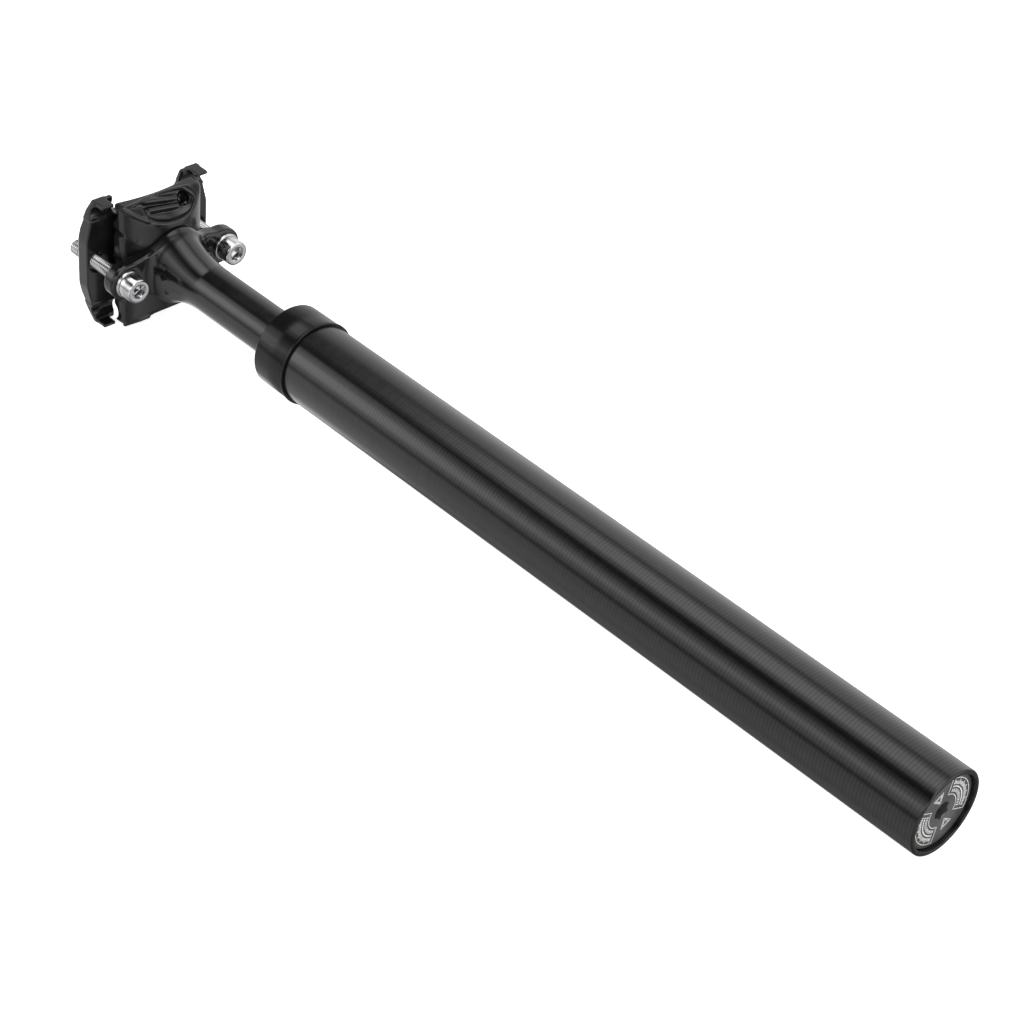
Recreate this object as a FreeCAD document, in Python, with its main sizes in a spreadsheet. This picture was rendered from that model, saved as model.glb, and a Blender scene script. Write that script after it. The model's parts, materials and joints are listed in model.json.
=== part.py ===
"""Telescopic suspension seatpost with a two-bolt saddle clamp, as a parametric FreeCAD document.

Every sub-part is drawn upright: its own Z runs up the post towards the saddle, its X is fore and
aft and its Y is sideways. The finished assembly lies on its side: row +X runs from the saddle
clamp to the lower end, row +Y is fore and aft, row +Z is up, and the origin is the centre of the
lower end. Sizes are millimetres and heights are measured up the post from its lower end.
"""
import FreeCAD
import Part
import Sketcher
import os
import re

SIZES = {
    # outer tube, clamped in the bicycle frame
    "tube_radius": 15.8,
    "tube_wall": 2.4,
    "tube_length": 299,
    "tube_end_round": 0.6,
    "plug_thread_radius": 14.0,
    "plug_thread_depth": 26,
    "skirt_thread_radius": 14.2,
    "keyway_depth": 0.9,
    "keyway_length": 140,
    # play left on each side of a fit
    "fit_gap": 0.05,
    "guide_gap": 0.06,
    "loose_gap": 0.3,
    # how far a cutting solid runs past what it cuts
    "overcut": 1,
    # collar nut and what it holds
    "lock_ring_radius": 16.8,
    "lock_ring_height": 1.2,
    "collar_radius": 16.55,
    "collar_height": 15.4,
    "collar_round": 0.8,
    "round_share": 0.3,
    "skirt_length": 18,
    "bushing_radius": 12.2,
    "bushing_flange_radius": 13.2,
    "bushing_flange_height": 4,
    "bushing_length": 28,
    "collar_lip_height": 2,
    "wiper_radius": 12.4,
    "wiper_lip_height": 0.9,
    "wiper_lip_width": 1.6,
    "skirt_ring_height": 10,
    "skirt_ring_thickness": 1.5,
    # telescopic shaft
    "shaft_radius": 9.4,
    "shaft_wall": 2.5,
    "shaft_length": 207,
    "shaft_stand_out": 91.4,
    "bore_stop": 9,
    "flare_length": 21,
    "flare_upper_length": 9,
    "flare_middle_depth": 10.2,
    "flare_middle_width": 11.6,
    "flare_top_gap": 1.6,
    "flare_depth": 11.5,
    "flare_width": 16.2,
    "travel": 40,
    # guide, keys and bumpers on the shaft
    "guide_height": 24,
    "key_width": 4,
    "key_height": 16,
    "key_seat_radius": 10.8,
    "key_reach": 0.75,
    "sleeve_radius": 11.6,
    "bumper_radius": 12.2,
    "bumper_height": 6,
    "top_out_gap": 0.4,
    "end_nut_radius": 12.6,
    "end_nut_flange": 6,
    "end_nut_spigot": 14,
    # spring stack
    "seat_radius": 12.6,
    "seat_height": 4,
    "seat_spigot_radius": 7.4,
    "seat_spigot_height": 6,
    "spring_radius": 10.3,
    "wire_radius": 1.9,
    "spring_turns": 12,
    "core_radius": 6.4,
    "core_gap": 0.5,
    "preload_travel": 4.5,
    # preload plug
    "plug_recess": 1.5,
    "plug_thread_height": 18,
    "plug_nose_radius": 12.6,
    "plug_nose_height": 2.5,
    "plug_dish_radius": 9.5,
    "plug_dish_depth": 0.8,
    "plug_hex_flats": 6,
    "plug_hex_depth": 7,
    "plug_ring_height": 13,
    "plug_ring_thickness": 1.6,
    # saddle clamp: the tilt axis is at pivot_height, the centre of the round belly
    "belly_radius": 23,
    "web_half_width": 13,
    "web_half_length": 5,
    "arm_half_width": 9.3,
    "arm_half_length": 11,
    "ear_radius": 7.2,
    "ear_height": 6,
    "ear_below_belly": 0.4,
    "bolt_offset": 23.3,
    "bolt_radius": 3,
    "bolt_hole_radius": 3.3,
    "bolt_length": 35,
    "bolt_head_radius": 5,
    "bolt_head_height": 6,
    "bolt_hex_flats": 5,
    "bolt_hex_depth": 3,
    "washer_radius": 5.6,
    "washer_hole_radius": 3.2,
    "washer_height": 1.4,
    # cradle under the saddle rails
    "rail_radius": 3.5,
    "rail_offset": 22,
    "rail_drop": 7,
    "cradle_half_length": 18.8,
    "cradle_half_width": 26.4,
    "cradle_top_drop": 8,
    "cradle_lip_height": 5.4,
    "keel_half_width": 18.7,
    "bolt_relief_radius": 5.2,
    "scoop_half_length": 14.5,
    "scoop_half_height": 7.5,
    "scoop_depth": 9.5,
    "scoop_off_middle": 1,
    "scoop_above_belly": 3.5,
    "scoop_outside": 1.1,
    # top clamp
    "clamp_half_length": 28.5,
    "clamp_corner_length": 24.5,
    "clamp_end_half_width": 10,
    "clamp_half_width": 27,
    "clamp_top": 1.2,
    "clamp_bottom_drop": 4.8,
    "clamp_crown_half_width": 14,
    "clamp_shoulder_half_width": 22,
    "clamp_shoulder_drop": 0.6,
    "clamp_side_drop": 3,
    "lug_drop": 10,
    "lug_inner_length": 19.4,
    "waist_half_length": 16,
    "waist_half_width": 18.6,
    "clamp_bolt_hole_radius": 4,
    "nut_radius": 4.3,
    "nut_half_length": 7,
    "nut_bore_radius": 3.6,
    "nut_rise": 1,
}

# heights along the post that follow from the sizes above
LEVELS = {
    "tube_bore": "tube_radius - tube_wall",
    "skirt_base": "tube_length - skirt_length",
    "flange_base": "skirt_base - bushing_flange_height",
    "collar_top": "tube_length + lock_ring_height + collar_height",
    "pivot_height": "collar_top + shaft_stand_out",
    "shaft_end": "pivot_height - shaft_length",
    "flare_top": "pivot_height - ear_base_drop - flare_top_gap",
    "flare_middle": "flare_top - flare_upper_length",
    "flare_start": "flare_top - flare_length",
    "shaft_bore_top": "flare_start - bore_stop",
    "lip_base": "skirt_base + bushing_length",
    "wiper_base": "lip_base + collar_lip_height",
    "sleeve_base": "shaft_end + guide_height",
    "bumper_top": "flange_base - top_out_gap",
    "bumper_base": "bumper_top - bumper_height",
    "upper_seat_base": "shaft_end - end_nut_flange - seat_height",
    "lower_seat_base": "plug_recess + plug_thread_height + plug_nose_height",
    "lower_seat_top": "lower_seat_base + seat_height",
    "core_base": "lower_seat_top + seat_spigot_height",
    "core_top": "upper_seat_base - seat_spigot_height - travel - preload_travel - core_gap",
    "ear_base_drop": "belly_radius + ear_below_belly",
    "ear_top_drop": "ear_base_drop - ear_height",
    "washer_base_drop": "ear_base_drop + washer_height",
}

# upright sub-part to row: X to +Y, Y to -Z, Z to -X
LAY_DOWN = FreeCAD.Rotation(FreeCAD.Vector(0, 1, 0), FreeCAD.Vector(0, 0, -1), FreeCAD.Vector(-1, 0, 0))
TURN_Z_TO_Y = FreeCAD.Rotation(FreeCAD.Vector(1, 0, 0), -90)
TURN_Z_TO_X = FreeCAD.Rotation(FreeCAD.Vector(0, 1, 0), 90)
TURN_X_TO_Y = FreeCAD.Rotation(FreeCAD.Vector(0, 0, 1), 90)
UPRIGHT = FreeCAD.Rotation()

doc = FreeCAD.newDocument("SuspensionSeatpost")
sheet = doc.addObject("Spreadsheet::Sheet", "Sizes")
for row, (alias, value) in enumerate(SIZES.items(), start=1):
    sheet.set("A%d" % row, alias)
    sheet.set("B%d" % row, str(value))
    sheet.setAlias("B%d" % row, alias)
doc.recompute()

sub_parts = []


def formula(text):
    """The sheet expression for a formula in size and level names."""

    def name(match):
        word = match.group()
        if word in SIZES:
            return "Sizes." + word
        if word in LEVELS:
            return "(" + formula(LEVELS[word]) + ")"
        return word

    return re.sub(r"[A-Za-z_]+", name, text)


def bind(obj, **properties):
    """Binds properties to formulas; an underscore in a property's name stands for a dot."""
    for path, text in properties.items():
        obj.setExpression(path.replace("_", "."), formula(text))


def move(obj, x="0", y="0", z="0", turn=UPRIGHT):
    """Sets a shape's turn and binds its place."""
    obj.Placement = FreeCAD.Placement(FreeCAD.Vector(), turn)
    bind(obj, Placement_Base_x=x, Placement_Base_y=y, Placement_Base_z=z)
    return obj


def finish(obj, label, level, along="0"):
    """Names a sub-part and lays it down: its own origin is at this level, offset fore and aft."""
    obj.Label = label
    move(obj, x="-(%s)" % level, y=along, turn=LAY_DOWN)
    sub_parts.append(obj)
    return obj


def cylinder(radius, height, **place):
    """A cylinder along its own Z, from its base."""
    solid = doc.addObject("Part::Cylinder", "cylinder")
    bind(solid, Radius=radius, Height=height)
    return move(solid, **place)


def cross_cylinder(radius, half_length, turn, x="0", y="0", z="0"):
    """A cylinder centred on a point, along Y or X."""
    start = {"y": y, "x": x}
    key = "y" if turn is TURN_Z_TO_Y else "x"
    start[key] = "%s - (%s)" % (start[key], half_length)
    return cylinder(radius, "2 * (%s)" % half_length, x=start["x"], y=start["y"], z=z, turn=turn)


def block(half_x, half_y, low, high, x="0", y="0"):
    """A box centred on X and Y, from one height to another."""
    solid = doc.addObject("Part::Box", "block")
    bind(solid, Length="2 * (%s)" % half_x, Width="2 * (%s)" % half_y, Height="(%s) - (%s)" % (high, low))
    return move(solid, x="(%s) - (%s)" % (x, half_x), y="(%s) - (%s)" % (y, half_y), z=low)


def hexagon(flats, height, **place):
    """A hexagonal prism for a key socket; the radius to the corners is flats over root 3."""
    solid = doc.addObject("Part::Prism", "hexagon")
    solid.Polygon = 6
    bind(solid, Circumradius="(%s) / sqrt(3)" % flats, Height=height)
    return move(solid, **place)


def both_sides(distance):
    """A place and its mirror image."""
    return distance, "-(%s)" % distance


def join(*solids):
    """One shape from several."""
    union = doc.addObject("Part::MultiFuse", "join")
    union.Shapes = list(solids)
    return union


def cut(base, *tools):
    """A shape with others taken out of it."""
    remainder = doc.addObject("Part::Cut", "cut")
    remainder.Base = base
    remainder.Tool = tools[0] if len(tools) == 1 else join(*tools)
    return remainder


def overlap(*solids):
    """What shapes have in common."""
    shared = doc.addObject("Part::MultiCommon", "overlap")
    shared.Shapes = list(solids)
    return shared


def outlined_sketch(body, plane_role, corners):
    """A closed outline in a body's own plane, each corner bound to two formulas."""
    sketch = body.newObject("Sketcher::SketchObject", "outline")
    planes = [plane for plane in body.Origin.OriginFeatures if plane.Role == plane_role]
    sketch.AttachmentSupport = (planes[0], [""])
    sketch.MapMode = "FlatFace"
    points = []
    for corner in corners:
        across, up = [float(sheet.evalExpression(formula(text))) for text in corner]
        points.append(FreeCAD.Vector(across, up, 0))
    for start, end in zip(points, points[1:] + points[:1]):
        sketch.addGeometry(Part.LineSegment(start, end), False)
    last = len(points) - 1
    for index in range(len(points)):
        before = last if index == 0 else index - 1
        sketch.addConstraint(Sketcher.Constraint("Coincident", before, 2, index, 1))
    for index, (point, corner) in enumerate(zip(points, corners)):
        for kind, value, text, axis in (
            ("DistanceX", point.x, corner[0], -2),
            ("DistanceY", point.y, corner[1], -1),
        ):
            if text == "0":
                sketch.addConstraint(Sketcher.Constraint("PointOnObject", index, 1, axis))
                continue
            constraint = sketch.addConstraint(Sketcher.Constraint(kind, -1, 1, index, 1, value))
            sketch.setExpression("Constraints[%d]" % constraint, formula(text))
    return sketch


def turned(corners):
    """A body turned about its own Z axis; each corner is a radius and a height."""
    body = doc.addObject("PartDesign::Body", "turned")
    sketch = outlined_sketch(body, "XZ_Plane", corners)
    revolution = body.newObject("PartDesign::Revolution", "revolution")
    revolution.Profile = sketch
    revolution.ReferenceAxis = (sketch, ["V_Axis"])
    revolution.Angle = 360
    sketch.Visibility = False
    body.Tip = revolution
    return body


def tube(outer, inner, height):
    """A plain turned ring or tube."""
    return turned([(inner, "0"), (outer, "0"), (outer, height), (inner, height)])


def padded(corners, height, plane_role="XY_Plane"):
    """A body padded both ways from its own plane, over a whole height or width."""
    body = doc.addObject("PartDesign::Body", "padded")
    sketch = outlined_sketch(body, plane_role, corners)
    pad = body.newObject("PartDesign::Pad", "pad")
    pad.Profile = sketch
    pad.SideType = "Symmetric"
    bind(pad, Length=height)
    sketch.Visibility = False
    body.Tip = pad
    return body


def mirrored_outline(half):
    """A whole outline from the corners of its half at positive X, listed from low to high."""
    return half + [("-(%s)" % across, up) for across, up in reversed(half)]


def make_outer_tube():
    keyway_top = "skirt_base + fit_gap"
    shell = turned([
        ("plug_thread_radius", "0"),
        ("tube_radius - tube_end_round", "0"),
        ("tube_radius", "tube_end_round"),
        ("tube_radius", "tube_length"),
        ("skirt_thread_radius", "tube_length"),
        ("skirt_thread_radius", "skirt_base - fit_gap"),
        ("tube_bore", "skirt_base - fit_gap"),
        ("tube_bore", "plug_thread_depth"),
        ("plug_thread_radius", "plug_thread_depth"),
    ])
    keyway = block(
        "tube_bore + keyway_depth",
        "key_width / 2 + fit_gap",
        "skirt_base - keyway_length",
        keyway_top,
    )
    finish(cut(shell, keyway), "outer_tube", "0")


def make_collar():
    ring = tube("lock_ring_radius", "skirt_thread_radius", "lock_ring_height")
    finish(ring, "lock_ring", "tube_length")
    groove_low = "skirt_ring_height - skirt_ring_thickness / 2 - fit_gap"
    groove_high = "skirt_ring_height + skirt_ring_thickness / 2 + fit_gap"
    groove_floor = "skirt_thread_radius - skirt_ring_thickness"
    skirt = "skirt_thread_radius - fit_gap"
    top = "collar_top - skirt_base"
    nut = turned([
        ("bushing_radius", "0"),
        (skirt, "0"),
        (skirt, groove_low),
        (groove_floor, groove_low),
        (groove_floor, groove_high),
        (skirt, groove_high),
        (skirt, "skirt_length + lock_ring_height"),
        ("collar_radius", "skirt_length + lock_ring_height"),
        ("collar_radius", top + " - collar_round"),
        ("collar_radius - collar_round * round_share", top + " - collar_round * round_share"),
        ("collar_radius - collar_round", top),
        ("wiper_radius", top),
        ("wiper_radius", "wiper_base - skirt_base"),
        ("shaft_radius + loose_gap", "wiper_base - skirt_base"),
        ("shaft_radius + loose_gap", "lip_base - skirt_base"),
        ("bushing_radius", "lip_base - skirt_base"),
    ])
    finish(nut, "collar_nut", "skirt_base")
    seal = tube("skirt_thread_radius - fit_gap", groove_floor + " + fit_gap", "skirt_ring_thickness")
    finish(seal, "collar_seal_ring", "skirt_base + skirt_ring_height - skirt_ring_thickness / 2")


def make_upper_bushing():
    bushing = turned([
        ("shaft_radius + fit_gap", "0"),
        ("bushing_flange_radius", "0"),
        ("bushing_flange_radius", "bushing_flange_height"),
        ("bushing_radius - fit_gap", "bushing_flange_height"),
        ("bushing_radius - fit_gap", "bushing_flange_height + bushing_length"),
        ("shaft_radius + fit_gap", "bushing_flange_height + bushing_length"),
    ])
    finish(bushing, "upper_bushing", "flange_base")


def make_wiper_seal():
    face = "collar_top - wiper_base"
    seal = turned([
        ("shaft_radius + fit_gap", "0"),
        ("wiper_radius - fit_gap", "0"),
        ("wiper_radius - fit_gap", face),
        ("shaft_radius + wiper_lip_width", face),
        ("shaft_radius + fit_gap", face + " + wiper_lip_height"),
    ])
    finish(seal, "wiper_seal", "wiper_base")


def make_neck():
    """The shaft's top, drawn from round to an oval that is wide sideways and thin fore and aft."""
    sections = []
    for depth, width, level in (
        ("shaft_radius - fit_gap", "shaft_radius - fit_gap", "flare_start"),
        ("flare_middle_depth", "flare_middle_width", "flare_middle"),
        ("flare_depth", "flare_width", "flare_top"),
        ("flare_depth", "flare_width", "pivot_height - ear_top_drop"),
    ):
        oval = doc.addObject("Part::Ellipse", "oval")
        bind(oval, MajorRadius=width, MinorRadius=depth)
        sections.append(move(oval, z="(%s) - pivot_height" % level, turn=TURN_X_TO_Y))
    neck = doc.addObject("Part::Loft", "neck")
    neck.Sections = sections
    neck.Solid = True
    return neck


def make_forged_head():
    shaft = turned([
        ("shaft_radius - shaft_wall", "0"),
        ("shaft_radius", "0"),
        ("shaft_radius", "flare_middle - shaft_end"),
        ("0", "flare_middle - shaft_end"),
        ("0", "shaft_bore_top - shaft_end"),
        ("shaft_radius - shaft_wall", "shaft_bore_top - shaft_end"),
    ])
    move(shaft, z="shaft_end - pivot_height")
    arms = [
        ("bolt_offset", "ear_radius"),
        ("arm_half_length", "arm_half_width"),
        ("web_half_length", "web_half_width"),
    ]
    half = [(x, "-(%s)" % y) for x, y in reversed(arms)] + arms
    web = padded(mirrored_outline(half), "ear_height")
    move(web, z="-(ear_top_drop + ear_height / 2)")
    ears = [
        cylinder("ear_radius", "ear_height", x=x, z="-(ear_base_drop)")
        for x in both_sides("bolt_offset")
    ]
    saddle = cross_cylinder("belly_radius + fit_gap", "flare_width + overcut", TURN_Z_TO_Y)
    holes = [
        cylinder("bolt_hole_radius", "ear_height + 2 * overcut", x=x, z="-(ear_base_drop) - overcut")
        for x in both_sides("bolt_offset")
    ]
    head = cut(join(shaft, make_neck(), web, *ears), saddle, *holes)
    finish(head, "forged_head", "pivot_height")


def make_shaft_guide():
    ring = tube("tube_bore - guide_gap", "shaft_radius + fit_gap", "guide_height")
    slot = block(
        "tube_bore",
        "key_width / 2",
        "guide_height / 2 - key_height / 2",
        "guide_height / 2 + key_height / 2",
    )
    hub = cylinder("key_seat_radius", "guide_height")
    finish(cut(ring, cut(slot, hub)), "guide_bushing", "shaft_end")
    bar = block(
        "tube_bore + key_reach",
        "key_width / 2 - fit_gap / 2",
        "-(key_height) / 2 + fit_gap",
        "key_height / 2 - fit_gap",
    )
    bore = cylinder("key_seat_radius + fit_gap", "key_height", z="-(key_height) / 2")
    finish(cut(bar, bore), "anti_rotation_keys", "shaft_end + guide_height / 2")


def make_top_out_parts():
    inner = "shaft_radius + fit_gap"
    finish(tube("sleeve_radius", inner, "bumper_base - sleeve_base"), "top_out_sleeve", "sleeve_base")
    finish(tube("bumper_radius", inner, "bumper_height"), "top_out_bumper", "bumper_base")


def make_shaft_end_nut():
    spigot = "shaft_radius - shaft_wall - fit_gap"
    nut = turned([
        ("0", "0"),
        ("end_nut_radius", "0"),
        ("end_nut_radius", "end_nut_flange"),
        (spigot, "end_nut_flange"),
        (spigot, "end_nut_flange + end_nut_spigot"),
        ("0", "end_nut_flange + end_nut_spigot"),
    ])
    finish(nut, "shaft_end_nut", "shaft_end - end_nut_flange")


def make_spring_stack():
    upper = turned([
        ("0", "0"),
        ("seat_spigot_radius", "0"),
        ("seat_spigot_radius", "seat_spigot_height"),
        ("seat_radius", "seat_spigot_height"),
        ("seat_radius", "seat_spigot_height + seat_height"),
        ("0", "seat_spigot_height + seat_height"),
    ])
    finish(upper, "upper_spring_seat", "upper_seat_base - seat_spigot_height")
    lower = turned([
        ("0", "0"),
        ("seat_radius", "0"),
        ("seat_radius", "seat_height"),
        ("seat_spigot_radius", "seat_height"),
        ("seat_spigot_radius", "seat_height + seat_spigot_height"),
        ("0", "seat_height + seat_spigot_height"),
    ])
    finish(lower, "lower_spring_seat", "lower_seat_base")
    finish(cylinder("core_radius", "core_top - core_base"), "elastomer_core", "core_base")


def make_main_spring():
    length = "upper_seat_base - lower_seat_top - 2 * wire_radius - 2 * fit_gap"
    helix = doc.addObject("Part::Helix", "coil_line")
    bind(helix, Pitch="(%s) / spring_turns" % length, Height=length, Radius="spring_radius")
    wire = doc.addObject("Part::Circle", "wire_section")
    bind(wire, Radius="wire_radius")
    move(wire, x="spring_radius", turn=TURN_Z_TO_Y)
    coil = doc.addObject("Part::Sweep", "coil")
    coil.Sections = [wire]
    coil.Spine = (helix, ["Edge1"])
    coil.Solid = True
    coil.Frenet = True
    finish(coil, "main_spring", "lower_seat_top + wire_radius + fit_gap")


def make_preload_plug():
    thread = "plug_thread_radius - fit_gap"
    groove_low = "plug_ring_height - plug_ring_thickness / 2 - fit_gap"
    groove_high = "plug_ring_height + plug_ring_thickness / 2 + fit_gap"
    groove_floor = "plug_thread_radius - plug_ring_thickness"
    top = "plug_thread_height + plug_nose_height"
    body = turned([
        ("0", "plug_dish_depth"),
        ("plug_dish_radius", "plug_dish_depth"),
        ("plug_dish_radius + plug_dish_depth", "0"),
        (thread, "0"),
        (thread, groove_low),
        (groove_floor, groove_low),
        (groove_floor, groove_high),
        (thread, groove_high),
        (thread, "plug_thread_height"),
        ("plug_nose_radius", "plug_thread_height"),
        ("plug_nose_radius", top),
        ("0", top),
    ])
    socket = hexagon("plug_hex_flats", "plug_hex_depth", z="0")
    finish(cut(body, socket), "preload_plug", "plug_recess")
    seal = tube(thread, groove_floor + " + fit_gap", "plug_ring_thickness")
    finish(seal, "plug_seal_ring", "plug_recess + plug_ring_height - plug_ring_thickness / 2")


def make_clamp_bolt(label, along):
    head = cylinder("bolt_head_radius", "bolt_head_height", z="-(bolt_head_height)")
    shank = cylinder("bolt_radius", "bolt_length")
    socket = hexagon("bolt_hex_flats", "bolt_hex_depth", z="-(bolt_head_height)")
    finish(cut(join(head, shank), socket), label, "pivot_height - washer_base_drop", along)


def make_washer(label, along):
    washer = tube("washer_radius", "washer_hole_radius", "washer_height")
    finish(washer, label, "pivot_height - washer_base_drop", along)


def make_barrel_nut(label, along):
    barrel = cross_cylinder("nut_radius", "nut_half_length", TURN_Z_TO_Y)
    bore = cylinder("nut_bore_radius", "2 * (nut_radius + overcut)", z="-(nut_radius) - overcut")
    finish(cut(barrel, bore), label, "pivot_height + nut_rise", along)


def rail_channels(half_length):
    """Round channels for the two saddle rails."""
    return [
        cross_cylinder("rail_radius", half_length + " + overcut", TURN_Z_TO_X, y=y, z="-(rail_drop)")
        for y in both_sides("rail_offset")
    ]


def make_lower_cradle():
    round_belly = cross_cylinder("belly_radius", "cradle_half_width", TURN_Z_TO_Y)
    lip_base = "-(cradle_top_drop) - cradle_lip_height"
    section = padded(
        mirrored_outline([
            ("keel_half_width", "-(belly_radius)"),
            ("cradle_half_width", lip_base),
            ("cradle_half_width", "-(cradle_top_drop)"),
        ]),
        "2 * cradle_half_length",
        "YZ_Plane",
    )
    reliefs = [
        cylinder("bolt_relief_radius", "belly_radius", x=x, z="-(belly_radius)")
        for x in both_sides("bolt_offset")
    ]
    scoops = []
    for y in both_sides("cradle_half_width + scoop_outside"):
        scoop = doc.addObject("Part::Ellipsoid", "scoop")
        bind(scoop, Radius1="scoop_half_height", Radius2="scoop_half_length", Radius3="scoop_depth")
        scoops.append(move(scoop, x="scoop_off_middle", y=y, z="scoop_above_belly - belly_radius"))
    channels = rail_channels("cradle_half_length")
    cradle = cut(overlap(round_belly, section), *scoops, *channels, *reliefs)
    finish(cradle, "lower_cradle", "pivot_height")


def make_top_clamp():
    section = padded(
        mirrored_outline([
            ("waist_half_width", "-(clamp_bottom_drop)"),
            ("waist_half_width", "-(lug_drop)"),
            ("clamp_half_width", "-(lug_drop)"),
            ("clamp_half_width", "-(clamp_side_drop)"),
            ("clamp_shoulder_half_width", "-(clamp_shoulder_drop)"),
            ("clamp_crown_half_width", "clamp_top"),
        ]),
        "2 * clamp_half_length",
        "YZ_Plane",
    )
    plan = padded(
        mirrored_outline([
            ("clamp_corner_length", "-(clamp_half_width)"),
            ("clamp_half_length", "-(clamp_end_half_width)"),
            ("clamp_half_length", "clamp_end_half_width"),
            ("clamp_corner_length", "clamp_half_width"),
        ]),
        "4 * lug_drop",
    )
    below = "-(lug_drop) - overcut"
    entries = [
        block("clamp_half_length + overcut", "rail_radius", below, "-(rail_drop)", y=y)
        for y in both_sides("rail_offset")
    ]
    waists = [
        block("waist_half_length", "clamp_half_width - waist_half_width", below, "clamp_top + overcut", y=y)
        for y in both_sides("clamp_half_width")
    ]
    clear_of_cradle = block("lug_inner_length", "clamp_half_width + overcut", below, "-(rail_drop)")
    holes = [
        cylinder("clamp_bolt_hole_radius", "2 * lug_drop", x=x, z="-(lug_drop)")
        for x in both_sides("bolt_offset")
    ]
    troughs = [
        cross_cylinder("nut_radius + fit_gap", "nut_half_length + loose_gap", TURN_Z_TO_Y, x=x, z="nut_rise")
        for x in both_sides("bolt_offset")
    ]
    channels = rail_channels("clamp_half_length")
    clamp = cut(overlap(section, plan), *channels, *entries, *waists, clear_of_cradle, *holes, *troughs)
    finish(clamp, "top_clamp", "pivot_height")


make_outer_tube()
make_collar()
make_upper_bushing()
make_wiper_seal()
make_forged_head()
make_shaft_guide()
make_top_out_parts()
make_shaft_end_nut()
make_spring_stack()
make_main_spring()
make_preload_plug()
make_lower_cradle()
make_top_clamp()
for end, along in (("rear", "bolt_offset"), ("front", "-(bolt_offset)")):
    make_clamp_bolt(end + "_bolt", along)
    make_washer(end + "_washer", along)
    make_barrel_nut(end + "_barrel_nut", along)

doc.recompute()
failed = [obj.Label for obj in doc.Objects if {"Invalid", "Error"} & set(obj.State)]
unsound = [obj.Label for obj in sub_parts if obj.Shape.isNull() or not obj.Shape.isValid()]
if failed or unsound:
    raise RuntimeError("failed: %s; unsound: %s" % (failed, unsound))

os.makedirs("parts", exist_ok=True)
for sub_part in sub_parts:
    sub_part.Shape.exportStep("parts/%s.step" % sub_part.Label)
    print(sub_part.Label, len(sub_part.Shape.Solids), round(sub_part.Shape.Volume, 2))
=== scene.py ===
"""Suspension seatpost lying on a pale floor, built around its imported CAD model.

Lengths are millimetres in a sub-part's own upright frame: X fore and aft, Y sideways and Z up the
post from its lower end. laid_down turns them into row metres: row x is -Z, row y is X, row z is -Y.
"""
import bpy
import json
import math
import numpy as np
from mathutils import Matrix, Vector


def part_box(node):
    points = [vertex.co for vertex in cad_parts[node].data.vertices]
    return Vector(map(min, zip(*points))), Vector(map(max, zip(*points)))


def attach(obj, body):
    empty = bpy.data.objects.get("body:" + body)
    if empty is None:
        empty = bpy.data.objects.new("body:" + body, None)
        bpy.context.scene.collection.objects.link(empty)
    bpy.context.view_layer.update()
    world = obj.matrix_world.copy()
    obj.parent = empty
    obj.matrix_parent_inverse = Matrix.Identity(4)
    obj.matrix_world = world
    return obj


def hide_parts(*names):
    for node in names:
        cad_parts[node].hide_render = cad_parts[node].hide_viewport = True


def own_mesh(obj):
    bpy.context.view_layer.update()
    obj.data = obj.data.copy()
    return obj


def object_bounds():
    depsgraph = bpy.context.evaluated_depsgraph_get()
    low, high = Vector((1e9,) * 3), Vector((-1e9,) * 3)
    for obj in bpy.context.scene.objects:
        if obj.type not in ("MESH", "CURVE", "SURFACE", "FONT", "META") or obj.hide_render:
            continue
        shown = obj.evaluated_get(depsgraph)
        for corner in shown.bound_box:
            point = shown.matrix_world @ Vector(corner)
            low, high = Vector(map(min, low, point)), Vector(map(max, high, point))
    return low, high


MM = 0.001
ALONG_Y = 1

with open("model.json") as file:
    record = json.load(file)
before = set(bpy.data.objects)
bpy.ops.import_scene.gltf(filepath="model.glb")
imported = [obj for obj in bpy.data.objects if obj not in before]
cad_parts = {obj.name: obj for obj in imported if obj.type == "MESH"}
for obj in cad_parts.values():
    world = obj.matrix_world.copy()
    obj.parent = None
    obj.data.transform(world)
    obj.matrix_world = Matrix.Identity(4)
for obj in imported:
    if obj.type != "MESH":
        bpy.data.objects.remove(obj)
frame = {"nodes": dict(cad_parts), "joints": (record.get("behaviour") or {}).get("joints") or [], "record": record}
cad_low, cad_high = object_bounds()


def upright_box(node):
    """A CAD node's lowest and highest corners in the upright frame, in millimetres."""
    low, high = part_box(node)
    return (
        np.array([low[1], -high[2], -high[0]]) / MM,
        np.array([high[1], -low[2], -low[0]]) / MM,
    )


def laid_down(points):
    """Upright millimetres as row metres."""
    points = np.asarray(points, dtype=float)
    return np.stack([-points[:, 2], points[:, 0], -points[:, 1]], axis=1) * MM


# ---------------------------------------------------------------- sizes, read from the CAD model
_, TUBE_HIGH = upright_box("outer_tube")
TUBE_RADIUS = TUBE_HIGH[0]
TUBE_TOP = TUBE_HIGH[2]
RING_LOW, RING_HIGH = upright_box("lock_ring")
NUT_LOW, _ = upright_box("collar_nut")
HEAD_LOW, HEAD_HIGH = upright_box("forged_head")
CRADLE_LOW, CRADLE_HIGH = upright_box("lower_cradle")
CLAMP_LOW, CLAMP_HIGH = upright_box("top_clamp")
PLUG_LOW, PLUG_HIGH = upright_box("preload_plug")
SEAL_LOW, SEAL_HIGH = upright_box("wiper_seal")
BOLT_LOW, BOLT_HIGH = upright_box("rear_bolt")
WASHER_LOW, WASHER_HIGH = upright_box("rear_washer")
BARREL_LOW, BARREL_HIGH = upright_box("rear_barrel_nut")
PIVOT = next(-joint["pos_m"][0] / MM for joint in frame["joints"] if joint["name"] == "saddle_tilt")
BOLT_OFFSET = (BOLT_LOW[0] + BOLT_HIGH[0]) / 2
BOLT_HEAD_RADIUS = (BOLT_HIGH[0] - BOLT_LOW[0]) / 2
BARREL_RADIUS = (BARREL_HIGH[0] - BARREL_LOW[0]) / 2
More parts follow.
